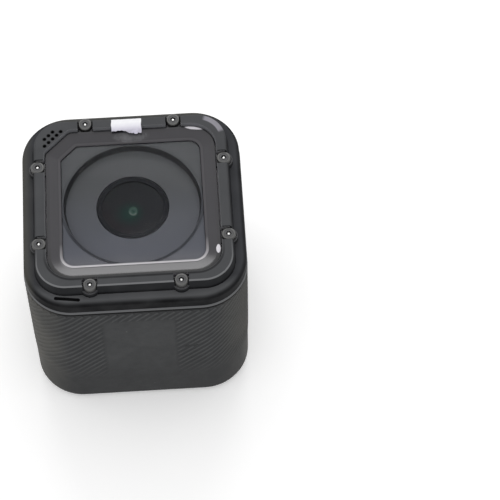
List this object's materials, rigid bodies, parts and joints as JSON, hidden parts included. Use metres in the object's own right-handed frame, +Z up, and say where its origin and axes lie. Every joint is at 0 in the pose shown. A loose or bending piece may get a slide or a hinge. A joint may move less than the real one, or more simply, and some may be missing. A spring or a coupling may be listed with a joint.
{
  "type": "cube action camera",
  "caption": "Small cube camera with a square screwed-down lens cover, ribbed rubber sleeve, top shutter button and display, and a sealed hinged side door over its ports.",
  "frame": {"origin": "middle of the footprint, at the base the camera stands on", "axes": "+X to the right seen from the front, the lens looks along -Y, +Z up through the shutter button"},
  "size_m": [0.038, 0.0364, 0.0386],
  "materials": {
    "sleeve_rubber": "finely ribbed matte rubber",
    "housing_plastic": "fine moulded texture",
    "front_plastic": "satin moulded plastic",
    "cover_plastic": "polished bevel",
    "plate_plastic": "very fine matte",
    "door_plastic": "fine moulded texture",
    "trim_plastic": "satin",
    "button_plastic": "satin",
    "seal_rubber": "smooth",
    "clear_glass": "coated optical glass",
    "filter_glass": "tinted filter glass",
    "clear_plastic": "smoked clear plastic",
    "display_film": "grey liquid crystal film",
    "screw_steel": "turned steel",
    "shell_steel": "pressed steel",
    "black_aluminium": "black anodised",
    "bare_aluminium": "bead blasted",
    "mount_plastic": "glass-filled black",
    "chip_ceramic": "moulded package",
    "board_laminate": "coated laminate",
    "flex_film": "amber film",
    "pad_foam": "soft pad",
    "cell_foil": "laminated foil pouch",
    "plug_plastic": "moulded",
    "wire_sleeve": "soft insulation",
    "emitter_resin": "clear resin",
    "buzzer_plastic": "moulded",
    "aerial_ceramic": "fired ceramic",
    "tape_film": "glossy white film"
  },
  "bodies": {
    "camera": {"housing": "housing_plastic", "rubber_sleeve": "sleeve_rubber", "rear_plate": "housing_plastic", "front_housing": "front_plastic", "housing_gasket": "seal_rubber", "cover_frame": "cover_plastic", "cover_seal": "seal_rubber", "cover_glass": "clear_glass", "cover_screws": "screw_steel", "lens_plate": "plate_plastic", "lens_barrel": "black_aluminium", "front_element": "clear_glass", "middle_element": "clear_glass", "rear_element": "clear_glass", "lens_stop": "black_aluminium", "lens_mount": "mount_plastic", "mount_screws": "screw_steel", "infrared_filter": "filter_glass", "image_sensor": "chip_ceramic", "sensor_board": "board_laminate", "thermal_pad": "pad_foam", "heat_spreader": "bare_aluminium", "stack_spacers": "bare_aluminium", "stack_screws": "screw_steel", "main_board": "board_laminate", "processor_shield": "shell_steel", "memory_chips": "chip_ceramic", "sensor_flex": "flex_film", "battery": "cell_foil", "battery_pad": "pad_foam", "battery_plug": "plug_plastic", "battery_lead": "wire_sleeve", "usb_socket": "shell_steel", "card_socket": "shell_steel", "port_plate": "trim_plastic", "shutter_seal": "seal_rubber", "shutter_board": "board_laminate", "shutter_switch": "shell_steel", "display_window": "clear_plastic", "display_gasket": "seal_rubber", "display_panel": "display_film", "info_switch": "shell_steel", "info_board": "board_laminate", "rear_microphone": "shell_steel", "rear_light": "clear_plastic", "front_microphone": "shell_steel", "light_guide": "clear_plastic", "light_emitter": "emitter_resin", "buzzer": "buzzer_plastic", "aerial": "aerial_ceramic", "seal_tape": "tape_film"},
    "shutter": {"shutter_button": "button_plastic"},
    "info": {"info_button": "button_plastic"},
    "door": {"side_door": "door_plastic", "door_seal": "seal_rubber", "hinge_pin": "screw_steel"},
    "latch": {"door_latch": "trim_plastic"}
  },
  "joints": [
    {"name": "shutter_press", "type": "slide", "parent": "camera", "child": "shutter", "axis": [0, 0, -1], "range_m": [0, 0.0005], "stiffness_N_per_m": 600, "springref_m": -0.0005},
    {"name": "info_press", "type": "slide", "parent": "camera", "child": "info", "axis": [0, -1, 0], "range_m": [0, 0.00035], "stiffness_N_per_m": 500, "springref_m": -0.0005},
    {"name": "door_hinge", "type": "hinge", "parent": "camera", "child": "door", "pos_m": [0.01785, 0.00525, 0.0104], "axis": [0, 1, 0], "range_deg": [0, 90]},
    {"name": "latch_slide", "type": "slide", "parent": "door", "child": "latch", "axis": [0, 0, 1], "range_m": [0, 0.001]}
  ]
}
